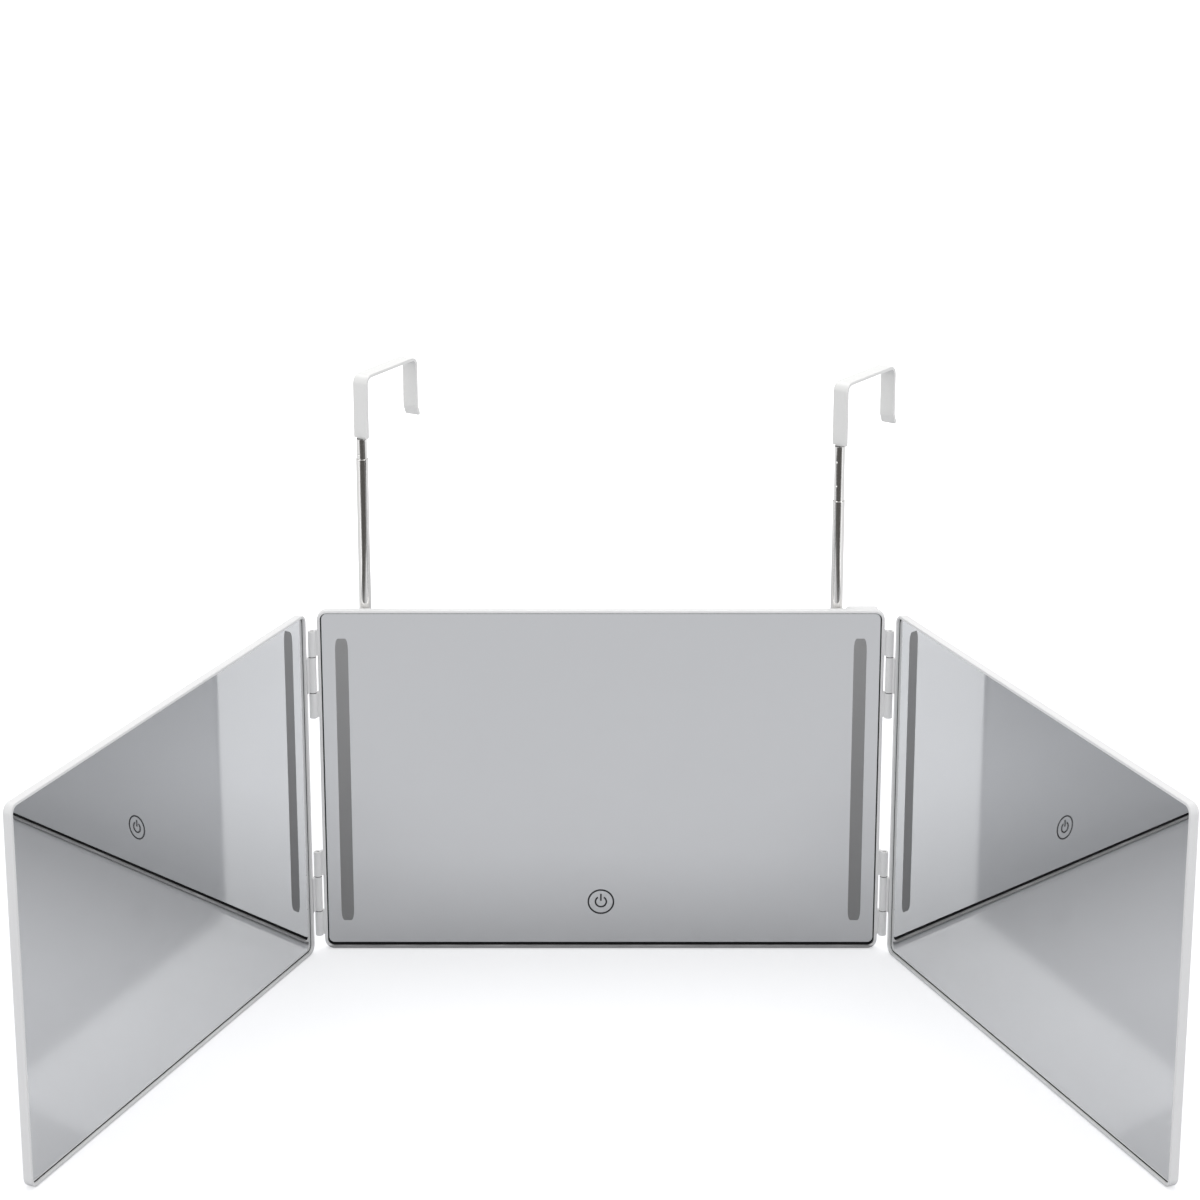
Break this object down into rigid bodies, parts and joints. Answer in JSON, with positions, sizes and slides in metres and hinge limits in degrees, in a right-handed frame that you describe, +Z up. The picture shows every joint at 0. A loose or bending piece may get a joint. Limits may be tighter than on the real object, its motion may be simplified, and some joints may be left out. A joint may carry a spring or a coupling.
{
  "type": "lighted trifold mirror",
  "caption": "Folding mirror with hinged side panels, light windows in the centre panel and telescopic rods with hooks that hang it over a door.",
  "frame": {"origin": "on the ground under the centre panel, halfway along the flat strip of its lower edge", "axes": "+X to the right along the centre mirror, seen from the front; +Y to the back; +Z up"},
  "size_m": [0.5234, 0.3234, 0.3081],
  "materials": {
    "white_plastic": "satin moulded",
    "mirror_glass": "polished",
    "frosted_plastic": "frosted",
    "polished_steel": "polished",
    "coated_steel": "smooth white coat",
    "foam_tape": "foam",
    "circuit_board": "solder mask",
    "white_board": "solder mask",
    "battery_foil": "foil",
    "copper": "plain",
    "brass": "turned",
    "dark_print": "printed",
    "wire_sleeve": "sleeve",
    "zinc_steel": "zinc plated"
  },
  "bodies": {
    "center_panel": {"center_shell": "white_plastic", "center_mirror_glass": "mirror_glass", "center_adhesive_frame": "foam_tape", "power_mark_ring": "dark_print", "power_mark_arc": "dark_print", "power_mark_bar": "dark_print", "battery_cover": "white_plastic", "battery_cell": "battery_foil", "control_board": "circuit_board", "charging_port": "zinc_steel", "touch_sensor_pad": "copper", "battery_cover_screw_1": "zinc_steel", "battery_cover_screw_2": "zinc_steel", "battery_cover_screw_3": "zinc_steel", "battery_cover_screw_4": "zinc_steel", "left_light_diffuser": "frosted_plastic", "left_led_board": "white_board", "left_led_wire": "wire_sleeve", "left_lower_hinge_pin": "polished_steel", "left_upper_hinge_pin": "polished_steel", "left_rod_bracket": "white_plastic", "left_bracket_screw_1": "zinc_steel", "left_bracket_screw_2": "zinc_steel", "left_rod_foot": "white_plastic", "left_rod_foot_screw": "zinc_steel", "left_lower_tube": "polished_steel", "right_light_diffuser": "frosted_plastic", "right_led_board": "white_board", "right_led_wire": "wire_sleeve", "right_lower_hinge_pin": "polished_steel", "right_upper_hinge_pin": "polished_steel", "right_rod_bracket": "white_plastic", "right_bracket_screw_1": "zinc_steel", "right_bracket_screw_2": "zinc_steel", "right_rod_foot": "white_plastic", "right_rod_foot_screw": "zinc_steel", "right_lower_tube": "polished_steel"},
    "left_wing": {"left_wing_shell": "white_plastic", "left_wing_mirror_glass": "mirror_glass", "left_wing_adhesive_frame": "foam_tape"},
    "left_middle_rod": {"left_middle_tube": "polished_steel", "left_middle_bush": "brass"},
    "left_upper_rod": {"left_upper_tube": "polished_steel", "left_upper_bush": "brass"},
    "left_hook_arm": {"left_hook": "coated_steel", "left_hook_spigot": "zinc_steel"},
    "right_wing": {"right_wing_shell": "white_plastic", "right_wing_mirror_glass": "mirror_glass", "right_wing_adhesive_frame": "foam_tape"},
    "right_middle_rod": {"right_middle_tube": "polished_steel", "right_middle_bush": "brass"},
    "right_upper_rod": {"right_upper_tube": "polished_steel", "right_upper_bush": "brass"},
    "right_hook_arm": {"right_hook": "coated_steel", "right_hook_spigot": "zinc_steel"}
  },
  "joints": [
    {"name": "left_panel_hinge", "type": "hinge", "parent": "center_panel", "child": "left_wing", "pos_m": [-0.1475, -0.0018, 0.0935], "axis": [0, 0, 1], "range_deg": [-67.9, 112]},
    {"name": "left_middle_slide", "type": "slide", "parent": "center_panel", "child": "left_middle_rod", "axis": [0, 0, 1], "range_m": [-0.0793, 0.0157]},
    {"name": "left_upper_slide", "type": "slide", "parent": "left_middle_rod", "child": "left_upper_rod", "axis": [0, 0, 1], "range_m": [-0.0093, 0.0857]},
    {"name": "left_hook_swivel", "type": "hinge", "parent": "left_upper_rod", "child": "left_hook_arm", "pos_m": [-0.1205, 0.0085, 0.2756], "axis": [0, 0, 1], "continuous": true},
    {"name": "right_panel_hinge", "type": "hinge", "parent": "center_panel", "child": "right_wing", "pos_m": [0.1475, -0.0018, 0.0935], "axis": [0, 0, -1], "range_deg": [-67.9, 67]},
    {"name": "right_middle_slide", "type": "slide", "parent": "center_panel", "child": "right_middle_rod", "axis": [0, 0, 1], "range_m": [-0.0573, 0.0377]},
    {"name": "right_upper_slide", "type": "slide", "parent": "right_middle_rod", "child": "right_upper_rod", "axis": [0, 0, 1], "range_m": [-0.0274, 0.0676]},
    {"name": "right_hook_swivel", "type": "hinge", "parent": "right_upper_rod", "child": "right_hook_arm", "pos_m": [0.1205, 0.0085, 0.2717], "axis": [0, 0, 1], "continuous": true}
  ]
}
